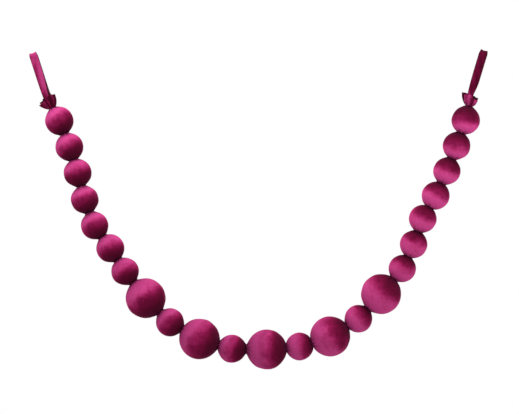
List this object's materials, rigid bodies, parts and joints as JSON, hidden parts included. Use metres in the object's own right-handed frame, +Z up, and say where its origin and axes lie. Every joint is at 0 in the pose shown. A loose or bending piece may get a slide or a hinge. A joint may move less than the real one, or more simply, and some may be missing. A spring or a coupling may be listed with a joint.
{
  "type": "velvet ball garland",
  "caption": "Velvet ball garland that hangs in a deep curve from a ribbon loop at each end: small balls, with larger ones alternating at the bottom, and a frilled collar under each loop.",
  "frame": {"origin": "the underside of the left loop's crown, where a hook or nail bears", "axes": "+Z up, +X from the left loop to the right loop, -Y the front; the strand hangs in the plane Y = 0"},
  "size_m": [0.687, 0.0606, 0.4806],
  "materials": {
    "velvet": "magenta velvet, nap along the strand",
    "collar_velvet": "the same velvet, in dark folds",
    "ribbon_velvet": "magenta velvet ribbon with firm edges"
  },
  "bodies": {
    "root": {"ball_01": "velvet", "ball_02": "velvet", "ball_03": "velvet", "ball_04": "velvet", "ball_05": "velvet", "ball_06": "velvet", "ball_07": "velvet", "ball_08": "velvet", "ball_09": "velvet", "ball_10": "velvet", "ball_11": "velvet", "ball_12": "velvet", "ball_13": "velvet", "ball_14": "velvet", "ball_15": "velvet", "ball_16": "velvet", "ball_17": "velvet", "ball_18": "velvet", "ball_19": "velvet", "ball_20": "velvet", "ball_21": "velvet", "ball_22": "velvet", "ball_23": "velvet", "collar_left": "collar_velvet", "collar_right": "collar_velvet", "loop_left": "ribbon_velvet", "loop_right": "ribbon_velvet"}
  },
  "joints": []
}
